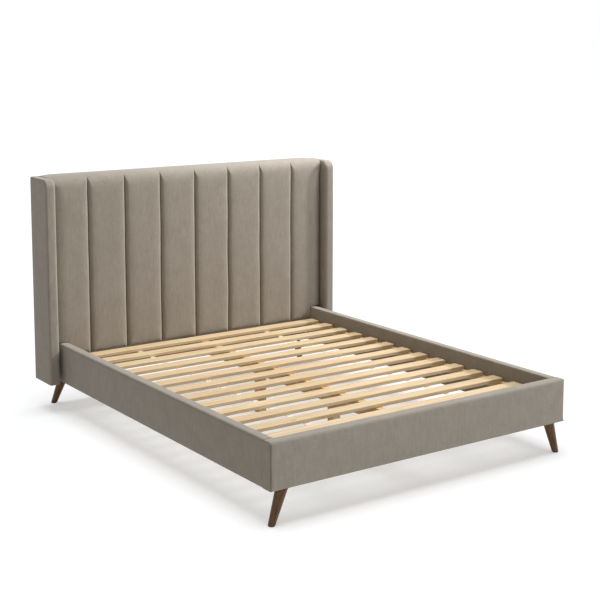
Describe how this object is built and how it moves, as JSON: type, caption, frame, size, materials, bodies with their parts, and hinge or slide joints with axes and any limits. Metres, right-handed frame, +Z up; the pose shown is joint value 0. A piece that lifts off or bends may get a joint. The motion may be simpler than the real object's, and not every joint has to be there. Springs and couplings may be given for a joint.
{
  "type": "upholstered bed frame",
  "caption": "Low upholstered bed frame with a tall channelled headboard between padded side wings, padded rails, a slatted base with a centre beam, and splayed tapered wooden legs.",
  "frame": {"origin": "on the floor, under the middle of the frame's length and width", "axes": "+Z up, +Y from the foot rail towards the headboard, +X to the right as seen from the foot"},
  "size_m": [1.88, 2.2309, 1.278],
  "materials": {
    "upholstery": "matte",
    "foam": "matte",
    "webbing": "matte",
    "pine": "matte",
    "slat_pine": "satin",
    "plywood": "matte",
    "beech": "matte",
    "walnut": "satin",
    "black_steel": "satin",
    "zinc_steel": "satin",
    "black_plastic": "matte"
  },
  "bodies": {
    "frame": {"foot_rail_core": "pine", "foot_rail_cover": "upholstery", "side_rail_core_left": "pine", "side_rail_core_right": "pine", "side_rail_cover_left": "upholstery", "side_rail_cover_right": "upholstery", "slat_ledge_left": "pine", "slat_ledge_right": "pine", "corner_brackets": "black_steel", "beam_hangers": "black_steel", "frame_bolts": "zinc_steel", "centre_beam": "pine", "support_leg_front": "pine", "support_leg_rear": "pine", "slat_1": "slat_pine", "slat_2": "slat_pine", "slat_3": "slat_pine", "slat_4": "slat_pine", "slat_5": "slat_pine", "slat_6": "slat_pine", "slat_7": "slat_pine", "slat_8": "slat_pine", "slat_9": "slat_pine", "slat_10": "slat_pine", "slat_11": "slat_pine", "slat_12": "slat_pine", "slat_13": "slat_pine", "slat_14": "slat_pine", "slat_straps": "webbing", "headboard_post_left": "pine", "headboard_post_right": "pine", "headboard_top_rail": "pine", "headboard_mid_rail": "pine", "headboard_low_rail": "pine", "headboard_panel": "plywood", "headboard_foam": "foam", "channel_1": "upholstery", "channel_2": "upholstery", "channel_3": "upholstery", "channel_4": "upholstery", "channel_5": "upholstery", "channel_6": "upholstery", "channel_7": "upholstery", "channel_8": "upholstery", "headboard_top_roll": "upholstery", "headboard_back": "upholstery", "wing_core_left": "plywood", "wing_core_right": "plywood", "wing_cover_left": "upholstery", "wing_cover_right": "upholstery", "wing_dowels": "beech", "leg_front_left": "walnut", "leg_front_right": "walnut", "leg_rear_left": "walnut", "leg_rear_right": "walnut", "leg_plates": "black_steel", "leg_hanger_bolts": "zinc_steel", "leg_glides": "black_plastic"},
    "front_levelling_foot": {"levelling_foot_front": "black_plastic"},
    "rear_levelling_foot": {"levelling_foot_rear": "black_plastic"}
  },
  "joints": [
    {"name": "front_foot_screw", "type": "slide", "parent": "frame", "child": "front_levelling_foot", "axis": [0, 0, -1], "range_m": [0, 0.018]},
    {"name": "rear_foot_screw", "type": "slide", "parent": "frame", "child": "rear_levelling_foot", "axis": [0, 0, -1], "range_m": [0, 0.018]}
  ]
}
